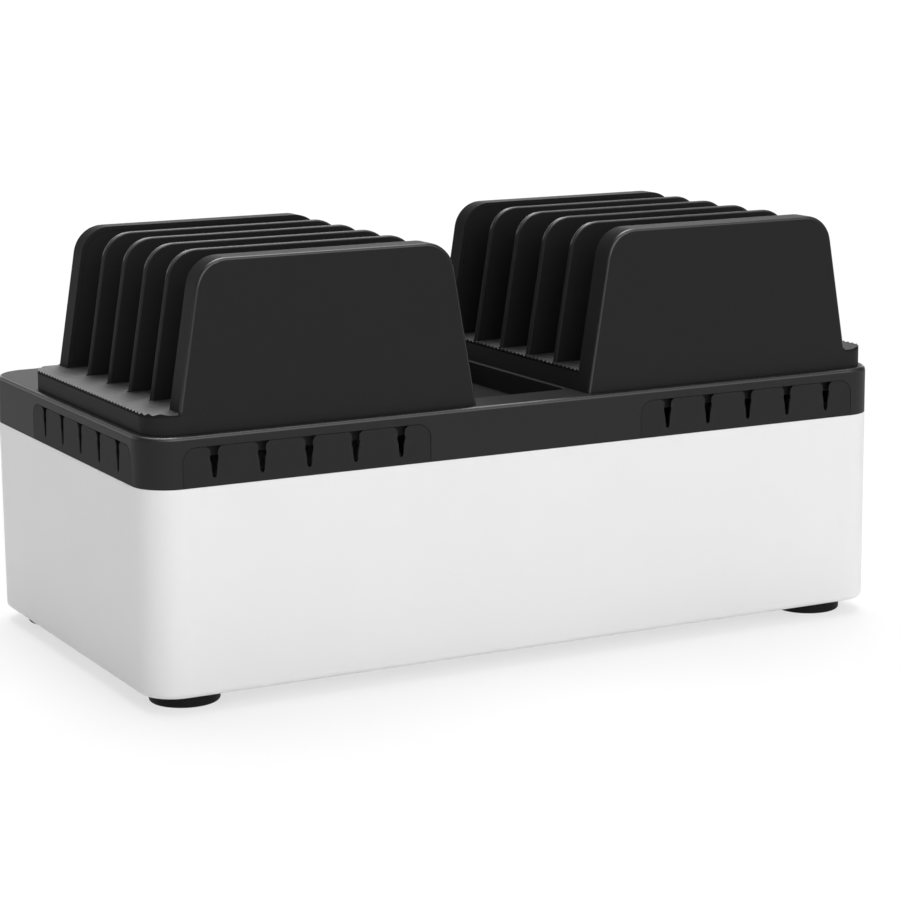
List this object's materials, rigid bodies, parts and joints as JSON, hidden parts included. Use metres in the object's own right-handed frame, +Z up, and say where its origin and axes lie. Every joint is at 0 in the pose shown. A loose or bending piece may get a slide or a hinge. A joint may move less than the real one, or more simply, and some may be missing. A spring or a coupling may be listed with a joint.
{
  "type": "charging station organizer",
  "caption": "Desk charging station: a white base for power adapters under a black deck with two lift-out trays of upright device slots and rubber cable combs round the rim.",
  "frame": {"origin": "on the floor, under the middle of the base", "axes": "+X to the right along the width, +Y to the back, +Z up"},
  "size_m": [0.45, 0.248, 0.2331],
  "materials": {
    "white_plastic": "fine-grained satin moulding",
    "foot_rubber": "matt rubber",
    "comb_rubber": "soft matt rubber",
    "deck_plastic": "fine-grained satin moulding",
    "tray_plastic": "fine-grained satin moulding",
    "divider_plastic": "fine-grained satin moulding",
    "mat_rubber": "matt ribbed rubber",
    "strip_plastic": "satin moulding",
    "outlet_plastic": "smooth moulding",
    "fitting_plastic": "smooth moulding",
    "rocker_plastic": "polished moulding",
    "pin_metal": "plated brass",
    "nut_metal": "bright plating",
    "screw_steel": "zinc-plated steel",
    "lead_sheath": "smooth cable sheath"
  },
  "bodies": {
    "base": {"base_housing": "white_plastic", "foot_front_left": "foot_rubber", "foot_front_right": "foot_rubber", "foot_rear_left": "foot_rubber", "foot_rear_right": "foot_rubber", "foot_screws": "screw_steel", "front_left_comb": "comb_rubber", "front_right_comb": "comb_rubber", "left_comb": "comb_rubber", "right_comb": "comb_rubber", "front_strip_case": "strip_plastic", "front_strip_cover": "strip_plastic", "front_strip_outlets": "outlet_plastic", "rear_strip_case": "strip_plastic", "rear_strip_cover": "strip_plastic", "rear_strip_outlets": "outlet_plastic", "strip_screws": "screw_steel", "cover_screws": "screw_steel", "power_inlet": "fitting_plastic", "inlet_pins": "pin_metal", "inlet_screws": "screw_steel", "switch_housing": "fitting_plastic", "breaker_housing": "fitting_plastic", "breaker_nut": "nut_metal", "inlet_lead": "lead_sheath", "switch_lead": "lead_sheath", "strip_lead": "lead_sheath", "link_lead": "lead_sheath"},
    "deck": {"top_deck": "deck_plastic"},
    "left_tray": {"left_tray_body": "tray_plastic", "left_tray_front_panel": "tray_plastic", "left_tray_rear_panel": "tray_plastic", "left_tray_mat": "mat_rubber", "left_tray_divider_1": "divider_plastic", "left_tray_divider_2": "divider_plastic", "left_tray_divider_3": "divider_plastic", "left_tray_divider_4": "divider_plastic", "left_tray_panel_screws": "screw_steel", "left_tray_divider_screws": "screw_steel"},
    "right_tray": {"right_tray_body": "tray_plastic", "right_tray_front_panel": "tray_plastic", "right_tray_rear_panel": "tray_plastic", "right_tray_mat": "mat_rubber", "right_tray_divider_1": "divider_plastic", "right_tray_divider_2": "divider_plastic", "right_tray_divider_3": "divider_plastic", "right_tray_divider_4": "divider_plastic", "right_tray_panel_screws": "screw_steel", "right_tray_divider_screws": "screw_steel"},
    "power_rocker": {"power_rocker": "rocker_plastic"},
    "reset_button": {"reset_button": "rocker_plastic"}
  },
  "joints": [
    {"name": "deck_lift", "type": "slide", "parent": "base", "child": "deck", "axis": [0, 0, 1], "range_m": [0, 0.16]},
    {"name": "left_tray_lift", "type": "slide", "parent": "deck", "child": "left_tray", "axis": [0, 0, 1], "range_m": [0, 0.12]},
    {"name": "right_tray_lift", "type": "slide", "parent": "deck", "child": "right_tray", "axis": [0, 0, 1], "range_m": [0, 0.12]},
    {"name": "power_rocker_tip", "type": "hinge", "parent": "base", "child": "power_rocker", "pos_m": [0.11, 0.1185, 0.062], "axis": [1, 0, 0], "range_deg": [-18, 0]},
    {"name": "reset_button_press", "type": "slide", "parent": "base", "child": "reset_button", "axis": [0, -1, 0], "range_m": [0, 0.0025], "stiffness_N_per_m": 400}
  ]
}
